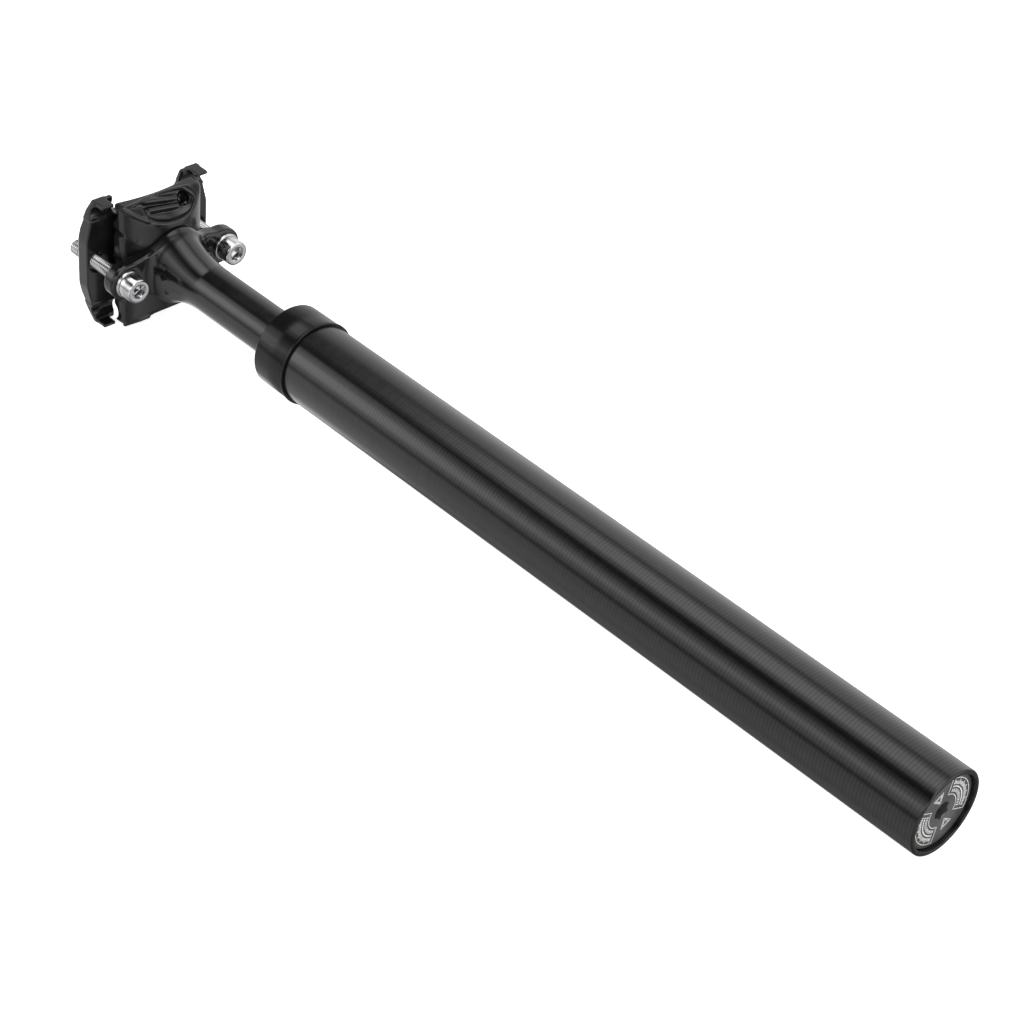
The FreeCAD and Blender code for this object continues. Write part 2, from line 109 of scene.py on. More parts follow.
BARREL_LEVEL = (BARREL_LOW[2] + BARREL_HIGH[2]) / 2
EAR_TOP = HEAD_HIGH[2]
EAR_BASE = WASHER_HIGH[2]
SHAFT_END = HEAD_LOW[2]

# sizes that a box doesn't tell
TUBE_WALL = 2.4
PLUG_THREAD_RADIUS = 14.0
PLUG_NOSE_RADIUS = 12.6
PLUG_NOSE_HEIGHT = 2.5
SHAFT_RADIUS = 9.4
SHAFT_BORE = 6.9
SHAFT_BORE_TOP = 352
RAIL_RADIUS = 3.5
RAIL_OFFSET = 22
RAIL_LEVEL = PIVOT - 7
BELLY_RADIUS = 23
BOLT_RADIUS = 3
BOLT_PITCH = 1
BOLT_HOLE_RADIUS = 3.3
WASHER_RADIUS = 5.6
WASHER_BORE = 3.2
NUT_BORE_RADIUS = 3.6
CAP_FLATS = 5
CAP_SOCKET_DEPTH = 3
PLUG_FLATS = 6
PLUG_SOCKET_DEPTH = 7
PLUG_THREAD_DEPTH = 26
COLLAR_BORE = 9.7
SEAL_SEAT_RADIUS = 12.4


# ---------------------------------------------------------------- materials
def new_material(name, color, roughness, metallic=0.0, ior=1.5):
    """A Principled material with its constants on the shader's own sockets."""
    material = bpy.data.materials.new(name)
    material.use_nodes = True
    shader = material.node_tree.nodes["Principled BSDF"]
    shader.inputs["Base Color"].default_value = (*color, 1)
    shader.inputs["Roughness"].default_value = roughness
    shader.inputs["Metallic"].default_value = metallic
    shader.inputs["IOR"].default_value = ior
    return material, shader


def add_node(material, kind, **settings):
    """A node with its properties, and its inputs given as keywords with underscores for spaces."""
    node = material.node_tree.nodes.new(kind)
    for key, value in settings.items():
        if hasattr(node, key):
            setattr(node, key, value)
        else:
            node.inputs[key.replace("_", " ")].default_value = value
    return node


def connect(material, source, target):
    material.node_tree.links.new(source, target)


def noise(material, scale, detail=3.0, stretch=(1, 1, 1)):
    """Noise in the row frame, in waves a metre, stretched along the axes."""
    place = add_node(material, "ShaderNodeTexCoord")
    mapping = add_node(material, "ShaderNodeMapping", Scale=stretch)
    texture = add_node(material, "ShaderNodeTexNoise", Scale=scale, Detail=detail)
    connect(material, place.outputs["Object"], mapping.inputs["Vector"])
    connect(material, mapping.outputs["Vector"], texture.inputs["Vector"])
    return texture.outputs["Fac"]


def bump(material, shader, height, strength, depth):
    """Bump from a height socket; depth is in metres."""
    node = add_node(material, "ShaderNodeBump", Strength=strength, Distance=depth)
    connect(material, height, node.inputs["Height"])
    connect(material, node.outputs["Normal"], shader.inputs["Normal"])


def vary(material, shader, socket, source, low, high):
    """Drives a shader input with a 0 to 1 source, between two values."""
    spread = add_node(material, "ShaderNodeMapRange")
    for index, value in ((1, 0.3), (2, 0.7), (3, low), (4, high)):
        spread.inputs[index].default_value = value
    connect(material, source, spread.inputs[0])
    connect(material, spread.outputs[0], shader.inputs[socket])


def tint(material, shader, source, dark, light):
    """Varies the base colour between two colours."""
    ramp = add_node(material, "ShaderNodeValToRGB")
    ramp.color_ramp.elements[0].position = 0.3
    ramp.color_ramp.elements[0].color = (*dark, 1)
    ramp.color_ramp.elements[1].position = 0.7
    ramp.color_ramp.elements[1].color = (*light, 1)
    connect(material, source, ramp.inputs["Fac"])
    connect(material, ramp.outputs["Color"], shader.inputs["Base Color"])


def turning_rings(material, pitch, wander):
    """Fine rings round the post from a lathe tool, slightly uneven."""
    place = add_node(material, "ShaderNodeTexCoord")
    rings = add_node(material, "ShaderNodeTexWave", Distortion=wander, Detail=2.0)
    rings.bands_direction = "X"
    rings.inputs["Scale"].default_value = 2 * math.pi / (20 * pitch * MM)
    rings.inputs["Detail Scale"].default_value = 0.3
    connect(material, place.outputs["Object"], rings.inputs["Vector"])
    return rings.outputs["Fac"]


def turned_black(name, roughness, pitch, strength, anisotropic, tone_and_painted_sheen=0.0045):
    """Black anodised aluminium, turned: rings, an axial spread of light and slight unevenness. A tone above the
    default lightens the black base colour as painted sheen.
    """
    material, shader = new_material(name, (0.006, 0.006, 0.007), roughness)
    shader.inputs["Anisotropic"].default_value = anisotropic
    shader.inputs["Anisotropic Rotation"].default_value = 0.25
    tangent = add_node(material, "ShaderNodeTangent", direction_type="RADIAL", axis="X")
    connect(material, tangent.outputs["Tangent"], shader.inputs["Tangent"])
    speckle = noise(material, 90, stretch=(6, 1, 1))
    # the tint's tone is the real black by default, and painted sheen where a caller raises it
    tint(material, shader, speckle, [tone_and_painted_sheen * 0.7] * 3, [tone_and_painted_sheen * 1.3] * 3)
    rings = turning_rings(material, pitch, 0.05)
    bump(material, shader, rings, strength, 0.00002)
    vary(material, shader, "Specular IOR Level", rings, 0.46, 0.58)
    smears = noise(material, 140, stretch=(8, 1, 1))
    vary(material, shader, "Roughness", smears, roughness * 0.85, roughness * 1.2)
    return material


def gloss_black(name, roughness, peel, shine=0.5):
    """Gloss black over forged or machined aluminium, with a faint orange peel."""
    material, shader = new_material(name, (0.006, 0.006, 0.006), roughness)
    bump(material, shader, noise(material, 420, 2.0), peel, 0.00008)
    vary(material, shader, "Roughness", noise(material, 160, 4.0), roughness * 0.8, roughness * 1.4)
    tint(material, shader, noise(material, 60), (0.004, 0.004, 0.004), (0.009, 0.009, 0.0095))
    shader.inputs["Specular IOR Level"].default_value = shine
    return material


def bright_metal(name, color, roughness, grain):
    """Plated or plain steel with fine scratches."""
    material, shader = new_material(name, color, roughness, metallic=1.0)
    scratches = noise(material, 1500, 2.0, stretch=(1, 1, 9))
    bump(material, shader, scratches, grain, 0.00001)
    vary(material, shader, "Roughness", noise(material, 700), roughness * 0.7, roughness * 1.5)
    tint(material, shader, noise(material, 300), [c * 0.88 for c in color], color)
    return material


def soft_material(name, color, roughness, grain):
    """Rubber, foam or plastic with a fine grain."""
    material, shader = new_material(name, color, roughness)
    bump(material, shader, noise(material, 2200, 4.0), grain, 0.00003)
    tint(material, shader, noise(material, 500), [c * 0.8 for c in color], color)
    return material


MATERIALS = {
    "tube_black": turned_black("tube_black", 0.13, 1.4, 0.3, 1.0),
    "collar_black": gloss_black("collar_black", 0.06, 0.03, 0.24),
    "forged_black": gloss_black("forged_black", 0.09, 0.12),
    "clamp_black": gloss_black("clamp_black", 0.17, 0.2),
    # the plug's tone of 0.05, about eleven times the tube's, is painted sheen: a lighter base colour standing in
    # for the light on its black end face
    "plug_black": turned_black("plug_black", 0.32, 0.7, 0.2, 0.3, 0.05),
    "bolt_steel": bright_metal("bolt_steel", (0.58, 0.58, 0.59), 0.10, 0.1),
    "nut_steel": bright_metal("nut_steel", (0.52, 0.52, 0.53), 0.28, 0.3),
    "spring_steel": bright_metal("spring_steel", (0.24, 0.24, 0.25), 0.35, 0.3),
    "key_brass": bright_metal("key_brass", (0.72, 0.52, 0.22), 0.25, 0.2),
    "seal_rubber": soft_material("seal_rubber", (0.012, 0.012, 0.012), 0.55, 0.3),
    "elastomer": soft_material("elastomer", (0.45, 0.36, 0.08), 0.7, 0.6),
    "bushing_polymer": soft_material("bushing_polymer", (0.7, 0.68, 0.62), 0.45, 0.15),
}
MARKING, marking_shader = new_material("laser_marking", (0.62, 0.62, 0.60), 0.6)
tint(MARKING, marking_shader, noise(MARKING, 2500, 3.0), (0.4, 0.4, 0.39), (0.72, 0.72, 0.7))

for part in frame["record"]["subparts"]:
    for holder in frame["nodes"][part["node"]].material_slots:
        holder.material = MATERIALS[part["material_slot"]]


# ---------------------------------------------------------------- pieces
def add_piece(name, points, faces, slot, body, nodes=(), smooth=True):
    """A mesh in upright millimetres as a piece on a body, in a slot's material."""
    mesh = bpy.data.meshes.new(name)
    mesh.from_pydata(laid_down(points).tolist(), [], [list(face) for face in faces])
    mesh.validate()
    mesh.materials.append(MATERIALS[slot])
    if smooth:
        mesh.shade_smooth()
    else:
        mesh.shade_flat()
    piece = bpy.data.objects.new(name, mesh)
    bpy.context.scene.collection.objects.link(piece)
    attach(piece, body)
    if nodes:
        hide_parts(*nodes)
    return piece


def sharpen(piece, degrees=35):
    """Keeps edges above an angle sharp in a smooth mesh."""
    piece.data.set_sharp_from_angle(angle=math.radians(degrees))


def rounded(outline, radii, steps=6):
    """A closed outline with its corners rounded; a radius of 0 leaves a corner sharp."""
    corners = [np.array(corner, dtype=float) for corner in outline]
    result = []
    for index, corner in enumerate(corners):
        radius = radii[index] if index < len(radii) else 0
        if not radius:
            result.append(corner)
            continue
        before = corners[index - 1] - corner
        after = corners[(index + 1) % len(corners)] - corner
        before /= np.linalg.norm(before)
        after /= np.linalg.norm(after)
        half = math.acos(np.clip(before @ after, -1, 1)) / 2
        reach = radius / math.tan(half)
        middle = corner + (before + after) / np.linalg.norm(before + after) * radius / math.sin(half)
        start = corner + before * reach - middle
        end = corner + after * reach - middle
        sweep = math.pi - 2 * half
        for step in range(steps + 1):
            share = step / steps
            blend = math.sin((1 - share) * sweep) * start + math.sin(share * sweep) * end
            result.append(middle + blend / math.sin(sweep))
    return result


def revolved(outline, segments=192):
    """Points and faces of a closed (radius, height) outline turned about Z; radius 0 isn't used."""
    angles = np.linspace(0, 2 * math.pi, segments, endpoint=False)
    radii = np.array([corner[0] for corner in outline])
    heights = np.array([corner[1] for corner in outline])
    count = len(outline)
    points = np.stack([
        np.outer(np.cos(angles), radii),
        np.outer(np.sin(angles), radii),
        np.tile(heights, (segments, 1)),
    ], axis=2).reshape(-1, 3)
    faces = []
    for turn in range(segments):
        after = (turn + 1) % segments
        for index in range(count):
            step = (index + 1) % count
            faces.append((
                turn * count + index,
                after * count + index,
                after * count + step,
                turn * count + step,
            ))
    return points, faces


# ---------------------------------------------------------------- solids from distance fields
def join(a, b, fillet=0.0):
    """The union of two fields, with a fillet where they meet."""
    if not fillet:
        return np.minimum(a, b)
    near = np.maximum(fillet - np.abs(a - b), 0) / fillet
    return np.minimum(a, b) - near * near * fillet / 4


def common(a, b, edge=0.0):
    """What two fields share, with the edge where they meet rounded."""
    return -join(-a, -b, edge)


def carve(a, b, edge=0.0):
    """The first field without the second, with its edge rounded."""
    return common(a, -b, edge)


def rod(place, centre, radius, half, axis, edge=0.5):
    """A cylinder along an axis, centred, with rounded ends."""
    across = [index for index in range(3) if index != axis]
    distance = np.hypot(*(place[index] - centre[index] for index in across)) - radius
    return common(distance, np.abs(place[axis] - centre[axis]) - half, edge)


def bar(place, start, end, radius):
    """A round-ended bar between two points."""
    start = np.array(start, dtype=float)
    run = np.array(end, dtype=float) - start
    offset = [place[axis] - start[axis] for axis in range(3)]
    share = np.clip(sum(offset[axis] * run[axis] for axis in range(3)) / (run @ run), 0, 1)
    return np.sqrt(sum((offset[axis] - share * run[axis]) ** 2 for axis in range(3))) - radius


def ellipsoid(place, centre, sizes):
    """An ellipsoid, with a distance that is right near its surface."""
    scaled = np.sqrt(sum(((place[axis] - centre[axis]) / sizes[axis]) ** 2 for axis in range(3)))
    slope = np.sqrt(sum(((place[axis] - centre[axis]) / sizes[axis] ** 2) ** 2 for axis in range(3)))
    return scaled * (scaled - 1) / np.maximum(slope, 1e-6)


def skin(field, axes, passes=2):
    """A closed quad mesh where a field is zero, on a grid whose lines are given for each axis."""
    grid = np.meshgrid(*axes, indexing="ij")
    values = field(grid)
    inside = values < 0
    cells = tuple(length - 1 for length in values.shape)
    total = np.zeros(cells + (3,))
    count = np.zeros(cells)
    crossings = []
    for axis in range(3):
        low = [slice(None)] * 3
        high = [slice(None)] * 3
        low[axis] = slice(None, -1)
        high[axis] = slice(1, None)
        low, high = tuple(low), tuple(high)
        crossed = inside[low] != inside[high]
        share = np.where(crossed, values[low] / np.where(crossed, values[low] - values[high], 1), 0)
        point = np.stack([lines[low] for lines in grid], axis=-1)
        point[..., axis] += share * (grid[axis][high] - grid[axis][low])
        first, second = [other for other in range(3) if other != axis]
        for shift_a in (0, 1):
            for shift_b in (0, 1):
                part = [slice(None)] * 3
                part[first] = slice(shift_a, shift_a + cells[first])
                part[second] = slice(shift_b, shift_b + cells[second])
                part = tuple(part)
                total += point[part] * crossed[part][..., None]
                count += crossed[part]
        crossings.append((axis, first, second, crossed, inside[low]))
    used = count > 0
    number = np.full(cells, -1)
    number[used] = np.arange(used.sum())
    points = total[used] / count[used][:, None]
    faces = []
    for axis, first, second, crossed, starts_inside in crossings:
        where = np.argwhere(crossed)
        keep = (where[:, first] > 0) & (where[:, second] > 0)
        keep &= (where[:, first] < cells[first]) & (where[:, second] < cells[second])
        where = where[keep]
        ring = []
        for step_a, step_b in ((1, 1), (0, 1), (0, 0), (1, 0)):
            cell = where.copy()
            cell[:, first] -= step_a
            cell[:, second] -= step_b
            ring.append(number[tuple(cell.T)])
        quads = np.stack(ring, axis=1)
        flip = starts_inside[tuple(where.T)] == (axis == 1)
        quads[flip] = quads[flip][:, ::-1]
        faces.append(quads)
    step = 0.02
    for _ in range(passes):
        here = field(list(points.T))
        slopes = []
        for axis in range(3):
            nudge = np.zeros(3)
            nudge[axis] = step
            slopes.append((field(list((points + nudge).T)) - field(list((points - nudge).T))) / (2 * step))
        slope = np.stack(slopes, axis=1)
        move = here[:, None] * slope / np.maximum((slope ** 2).sum(axis=1), 0.05)[:, None]
        points = points - np.clip(move, -0.2, 0.2)
    return points, np.concatenate(faces)


def lines(low, high, step):
    """Grid lines from just below to just above a span."""
    return np.arange(low - 2.3 * step, high + 3 * step, step)


CELL = 0.42


# ---------------------------------------------------------------- tube, ring, collar and seal
def make_tube():
    bore = TUBE_RADIUS - TUBE_WALL
    thread = PLUG_THREAD_RADIUS + 0.05
    outline = rounded(
        [
            (thread, 0),
            (TUBE_RADIUS, 0),
            (TUBE_RADIUS, TUBE_TOP),
            (bore, TUBE_TOP),
            (bore, PLUG_THREAD_DEPTH),
            (thread, PLUG_THREAD_DEPTH),
        ],
        [0.3, 0.7, 0.35, 0.2],
    )
    points, faces = revolved(outline)
    piece = add_piece("outer_tube_turned", points, faces, "tube_black", "post_tube", ["outer_tube"])
    sharpen(piece)


def make_collar():
    ring = rounded(
        [
            (14.3, RING_LOW[2] + 0.12),
            (RING_HIGH[0], RING_LOW[2] + 0.12),
            (RING_HIGH[0], RING_HIGH[2] - 0.12),
            (14.3, RING_HIGH[2] - 0.12),
        ],
        [0, 0.35, 0.35, 0],
    )
    sharpen(add_piece("lock_ring_turned", *revolved(ring), "collar_black", "post_tube", ["lock_ring"]))
    top = SEAL_HIGH[2] - 0.9
    base = RING_HIGH[2]
    radius = RING_HIGH[0] - 0.25
    nut = rounded(
        [
            (COLLAR_BORE, top - 4),
            (SEAL_SEAT_RADIUS, top - 4),
            (SEAL_SEAT_RADIUS, top),
            (radius, top),
            (radius, base),
            (14.15, base),
            (14.15, NUT_LOW[2]),
            (12.2, NUT_LOW[2]),
            (12.2, top - 6),
            (COLLAR_BORE, top - 6),
        ],
        [0, 0, 0.25, 0.9, 0.4, 0, 0.3, 0.3],
    )
    sharpen(add_piece("collar_nut_turned", *revolved(nut), "collar_black", "post_tube", ["collar_nut"]))
    seal_base = SEAL_LOW[2]
    seal = rounded(
        [
            (9.46, seal_base),
            (12.33, seal_base),
            (12.33, top - 0.1),
            (11.3, top - 0.1),
            (10.9, top - 0.9),
            (10.5, top - 0.1),
            (9.46, SEAL_HIGH[2]),
        ],
        [0, 0, 0.25, 0.15, 0.3, 0.2, 0.05],
        steps=4,
    )
    sharpen(add_piece("wiper_seal_lip", *revolved(seal), "seal_rubber", "post_tube", ["wiper_seal"]))


# ---------------------------------------------------------------- forged head
FLARE_START = 360
FLARE_HEIGHT = 23
FLARE_DEEPER = 2.1
FLARE_WIDER = 6.8
EAR_RADIUS = 7.15


def head_field(place):
    """The shaft, its flare and the two ears; negative inside, like all the fields."""
    x, y, z = place
    rise = np.clip((z - FLARE_START) / FLARE_HEIGHT, 0, 1)
    thin = SHAFT_RADIUS + FLARE_DEEPER * rise ** 2
    wide = SHAFT_RADIUS + FLARE_WIDER * rise ** 2
    reach = np.hypot(x / thin, y / wide)
    slope = np.hypot(x / thin ** 2, y / wide ** 2)
    neck = reach * (reach - 1) / np.maximum(slope, 1e-6)
    neck = np.maximum(neck, z - EAR_TOP)
    level = (EAR_BASE + EAR_TOP) / 2
    half = (EAR_TOP - EAR_BASE) / 2
    span = np.abs(x)
    width = np.interp(span, (5, 11, BOLT_OFFSET), (13, 9.3, 6.6))
    arm = np.maximum((np.abs(y) - width) * 0.95, span - BOLT_OFFSET)
    ear = np.hypot(span - BOLT_OFFSET, y) - EAR_RADIUS
    bridge = common(join(arm, ear, 1.5), np.abs(z - level) - half, 1.6)
    head = join(neck, bridge, 5.0)
    saddle = np.hypot(x, z - PIVOT) - BELLY_RADIUS - 0.05
    head = carve(head, saddle, 0.8)
    hole = np.hypot(span - BOLT_OFFSET, y) - BOLT_HOLE_RADIUS
    head = carve(head, hole, 0.5)
    bore = np.maximum(np.hypot(x, y) - SHAFT_BORE, z - SHAFT_BORE_TOP)
    head = np.maximum(head, -bore)
    head = np.maximum(head, z - EAR_TOP)
    return common(head, SHAFT_END - z, 0.5)


def make_head():
    fine = lines(EAR_TOP - 34, EAR_TOP, CELL)
    coarse = np.arange(SHAFT_END + 1, fine[0] - 1, 4)
    end = np.array([SHAFT_END - 0.6, SHAFT_END - 0.1, SHAFT_END + 0.3])
    axes = (
        lines(HEAD_LOW[0], HEAD_HIGH[0], CELL),
        lines(-17, 17, CELL),
        np.concatenate([end, coarse, fine]),
    )
    add_piece("head_forging", *skin(head_field, axes), "forged_black", "shaft", ["forged_head"])


# ---------------------------------------------------------------- saddle clamp
SCOOP_CENTRE = (1, 27.5, 387.5)
SCOOP_SIZE = (14.5, 9.5, 7.5)
MOUTH_CENTRE = (-2.5, 28, 392.6)
MOUTH_SIZE = (14.5, 5, 1.8)
PIT_CENTRE = (9.6, 21.4, 393.4)
PIT_SIZE = (2.3, 3.0, 3.4)
UPPER_RIB = ((-7.5, 25.6, 393.6), (6.3, 22.6, 393.6), 1.2)
LOWER_RIB = ((-6.5, 22.2, 392.0), (6.0, 20.2, 391.6), 1.1)
RIM_CURL = ((-11, 21.4, 387.0), (-14, 23, 389.0), (-18, 25.6, 392.8))
CURL_RADIUS = 0.7
KEEL_LEVELS = (PIVOT - BELLY_RADIUS, PIVOT - 13.4)
KEEL_HALF_WIDTHS = (18.7, 26.4)
CRADLE_RELIEF = 5.2
CLAMP_CORNER = (24.5, 27)
CLAMP_CHAMFER = (4, 17)
ROOF_WIDTHS = (0, 14, 22, 27)
ROOF_DROPS = (0, 0, 1.8, 4.2)
PLATE_DEPTH = 4.8
LUG_HALF_LENGTH = 19.4
LUG_HALF_WIDTH = 18.8
WAIST_HALF_LENGTH = 16
WAIST_HALF_WIDTH = 18.6
CLAMP_HOLE_RADIUS = 4


def cradle_field(place):
    """The cradle on its belly: scoops with a rim, ribs and a pit each side, rail channels."""
    x, y, z = place
    side = np.abs(y)
    mirrored = (x, side, z)
    dip = 1.8 * np.clip(1 - (x / 17) ** 2, 0, 1)
    top = z - (CRADLE_HIGH[2] - dip * (side > 19))
    outer = common(np.abs(x) - CRADLE_HIGH[0], side - CRADLE_HIGH[1], 2.0)
    belly = np.hypot(x, z - PIVOT) - BELLY_RADIUS
    keel = (side - np.interp(z, KEEL_LEVELS, KEEL_HALF_WIDTHS)) * 0.8
    belly = common(belly, keel, 1.5)
    body = common(common(outer, belly, 1.2), top, 1.0)
    scoop = ellipsoid(mirrored, SCOOP_CENTRE, SCOOP_SIZE)
    scoop = join(scoop, ellipsoid(mirrored, MOUTH_CENTRE, MOUTH_SIZE), 2.0)
    rim = np.sqrt(scoop ** 2 + belly ** 2) - 0.55
    body = carve(body, scoop, 0.9)
    body = join(body, common(rim, belly, 0.4), 0.6)
    first, bend, last = RIM_CURL
    curl = join(bar(mirrored, first, bend, CURL_RADIUS), bar(mirrored, bend, last, CURL_RADIUS))
    body = join(body, curl, 0.8)
    ribs = join(bar(mirrored, *UPPER_RIB), bar(mirrored, *LOWER_RIB), 0.5)
    body = join(body, ribs, 1.2)
    pit = ellipsoid(mirrored, PIT_CENTRE, PIT_SIZE)
    body = carve(body, pit, 0.6)
    rail = np.hypot(side - RAIL_OFFSET, z - RAIL_LEVEL) - RAIL_RADIUS
    body = carve(body, rail, 0.8)
    relief = np.hypot(np.abs(x) - BOLT_OFFSET, y) - CRADLE_RELIEF
    body = carve(body, relief, 0.8)
    flutes = np.hypot(np.abs(x) - CRADLE_HIGH[0] - 0.6, side - 14) - 1.6
    return carve(body, flutes, 0.6)


def clamp_field(place):
    """The six-sided plate with four lugs, its rail channels, bolt holes and nut troughs."""
    x, y, z = place
    side = np.abs(y)
    end = np.abs(x)
    taper = (end - CLAMP_CORNER[0]) * CLAMP_CHAMFER[1] + (side - CLAMP_CORNER[1]) * CLAMP_CHAMFER[0]
    taper = taper / math.hypot(*CLAMP_CHAMFER)
    plan = common(common(end - CLAMP_HIGH[0], side - CLAMP_HIGH[1], 0.3), taper, 0.3)
    roof = z - (CLAMP_HIGH[2] - np.interp(side, ROOF_WIDTHS, ROOF_DROPS))
    plate_floor = PIVOT - PLATE_DEPTH - z
    plate = common(common(plan, roof * 0.85, 0.6), plate_floor, 0.3)
    lug = common(common(plan, roof * 0.85, 0.6), CLAMP_LOW[2] - z, 0.3)
    lug = common(lug, LUG_HALF_WIDTH - side, 0.4)
    lug = common(lug, LUG_HALF_LENGTH - end, 0.4)
    body = join(plate, lug, 1.0)
    waist = common(end - WAIST_HALF_LENGTH, WAIST_HALF_WIDTH - side, 3.0)
    body = carve(body, waist, 1.2)
    hollow = ellipsoid((x, y, z), (0, 0, CLAMP_HIGH[2] + 1.5), (12, 15, 4))
    body = carve(body, hollow, 1.2)
    rail = np.hypot(side - RAIL_OFFSET, z - RAIL_LEVEL) - RAIL_RADIUS
    entry = common(np.abs(side - RAIL_OFFSET) - RAIL_RADIUS, z - RAIL_LEVEL)
    body = carve(body, np.minimum(rail, entry), 0.25)
    hole = np.hypot(end - BOLT_OFFSET, y) - CLAMP_HOLE_RADIUS
    body = carve(body, hole, 0.5)
    trough = rod((end, y, z), (BOLT_OFFSET, 0, BARREL_LEVEL), BARREL_RADIUS + 0.05, 7.3, ALONG_Y, 0.3)
    return carve(body, trough, 0.5)


def barrel_field(place):
    """The rear barrel nut with its cross bore."""
    x, y, _ = place
    barrel = rod(place, (BOLT_OFFSET, 0, BARREL_LEVEL), BARREL_RADIUS, BARREL_HIGH[1], ALONG_Y, 0.9)
    bore = np.hypot(x - BOLT_OFFSET, y) - NUT_BORE_RADIUS
    return carve(barrel, bore, 0.3)


def make_clamp():
    axes = [lines(CRADLE_LOW[axis], CRADLE_HIGH[axis], CELL) for axis in range(3)]
    points, faces = skin(cradle_field, axes)
    points = np.clip(points, CRADLE_LOW, CRADLE_HIGH)
    add_piece("cradle_forging", points, faces, "clamp_black", "cradle", ["lower_cradle"])
    axes = [lines(CLAMP_LOW[axis], CLAMP_HIGH[axis], CELL) for axis in range(3)]
    points, faces = skin(clamp_field, axes)
    points = np.clip(points, CLAMP_LOW, CLAMP_HIGH)
    add_piece("clamp_forging", points, faces, "clamp_black", "clamp", ["top_clamp"])
    axes = [lines(BARREL_LOW[axis], BARREL_HIGH[axis], CELL / 2) for axis in range(3)]
    points, faces = skin(barrel_field, axes)
    for end, shift in (("rear", 0), ("front", -2 * BOLT_OFFSET)):
        moved = points + np.array([shift, 0, 0])
        add_piece(
            end + "_barrel_nut_turned", moved, faces, "nut_steel", end + "_nut", [end + "_barrel_nut"]
        )


# ---------------------------------------------------------------- bolts and washers
def thread_radius(turns, root, crest):
    """The radius of a screw thread at a share of its pitch."""
    share = np.abs((turns % 1) - 0.5) * 2
    return root + (crest - root) * np.clip((share - 0.12) / 0.68, 0, 1)


def threaded_shank(start, end, segments=40, steps=12):
    """Points and faces of a closed threaded shank with a chamfered tip."""
    angles = np.linspace(0, 2 * math.pi, segments, endpoint=False)
    heights = np.arange(start, end + 1e-6, BOLT_PITCH / steps)
    angle, height = np.meshgrid(angles, heights, indexing="xy")
    radius = thread_radius(height / BOLT_PITCH - angle / (2 * math.pi), 2.42, BOLT_RADIUS - 0.02)
    radius = np.minimum(radius, 2.2 + (end - height) * 1.2)
    points = np.stack([radius * np.cos(angle), radius * np.sin(angle), height], axis=2).reshape(-1, 3)
    rows = len(heights)
    faces = []
    for row in range(rows - 1):
        for turn in range(segments):
            after = (turn + 1) % segments
            faces.append((
                row * segments + turn,
                row * segments + after,
                (row + 1) * segments + after,
                (row + 1) * segments + turn,
            ))
    faces.append(tuple(range(segments))[::-1])
    faces.append(tuple((rows - 1) * segments + turn for turn in range(segments)))
    return points, faces


def socket_head(radius, height, flats, depth, rim, segments=96, nose=()):
    """Points and faces of a cap head with a hexagon socket in its lower face, and a nose above it."""
    angles = np.linspace(0, 2 * math.pi, segments, endpoint=False)
    sector = (angles + math.pi / 6) % (math.pi / 3) - math.pi / 6
    hexagon = flats / 2 / np.cos(sector)
    mouth = np.maximum(hexagon, flats / 2 * 1.09)
    loops = [
        (hexagon * 0.02, depth + 0.9),
        (hexagon * 0.97, depth),
        (hexagon, depth - 0.1),
        (hexagon, 0.45),
        (mouth + 0.12, 0.06),
        (mouth + 0.3, 0),
    ]
    for share in (0, 0.33, 0.66, 1):
        turn = share * math.pi / 2
        loops.append((radius - rim + rim * math.sin(turn) + 0 * angles, rim - rim * math.cos(turn)))
    loops += [
        (radius + 0 * angles, height - 0.3),
        (radius - 0.3 + 0 * angles, height),
    ]
    for nose_radius, nose_level in nose:
        loops.append((nose_radius + 0 * angles, nose_level))
    loops.append((0.02 + 0 * angles, loops[-1][1]))
    points = np.concatenate([
        np.stack([loop * np.cos(angles), loop * np.sin(angles), level + 0 * angles], axis=1)
        for loop, level in loops
    ])
    faces = []
    for index in range(len(loops) - 1):
        for turn in range(segments):
            after = (turn + 1) % segments
            faces.append((
                index * segments + after,
                index * segments + turn,
                (index + 1) * segments + turn,
                (index + 1) * segments + after,
            ))
    faces.append(tuple(range(segments)))
    faces.append(tuple((len(loops) - 1) * segments + turn for turn in range(segments))[::-1])
    return points, faces


def merged(*meshes):
    """Several point and face lists as one."""
    points, faces, start = [], [], 0
    for some_points, some_faces in meshes:
        points.append(np.asarray(some_points))
        faces += [tuple(index + start for index in face) for face in some_faces]
        start += len(some_points)
    return np.concatenate(points), faces


def make_bolts():
    head_base = BOLT_LOW[2]
    head_height = WASHER_LOW[2] - head_base
    cap_points, cap_faces = socket_head(
        BOLT_HEAD_RADIUS, head_height, CAP_FLATS, CAP_SOCKET_DEPTH, 0.7
    )
    shank = threaded_shank(head_height - 0.2, BOLT_HIGH[2] - head_base)
    ring = rounded(
        [
            (WASHER_BORE, WASHER_LOW[2]),
            (WASHER_RADIUS, WASHER_LOW[2]),
            (WASHER_RADIUS, WASHER_HIGH[2]),
            (WASHER_BORE, WASHER_HIGH[2]),
        ],
        [0.2, 0.45, 0.25, 0.1],
        steps=3,
    )
    washer_points, washer_faces = revolved(ring, 96)
    for end, along in (("rear", BOLT_OFFSET), ("front", -BOLT_OFFSET)):
        points, faces = merged((cap_points, cap_faces), shank)
        place = np.array([along, 0, head_base])
        bolt = add_piece(
            end + "_bolt_threaded", points + place, faces, "bolt_steel", end + "_bolt", [end + "_bolt"]
        )
        sharpen(bolt, 30)
        washer = add_piece(
            end + "_washer_turned",
            washer_points + np.array([along, 0, 0]),
            washer_faces,
            "bolt_steel",
            "shaft",
            [end + "_washer"],
        )
        sharpen(washer)


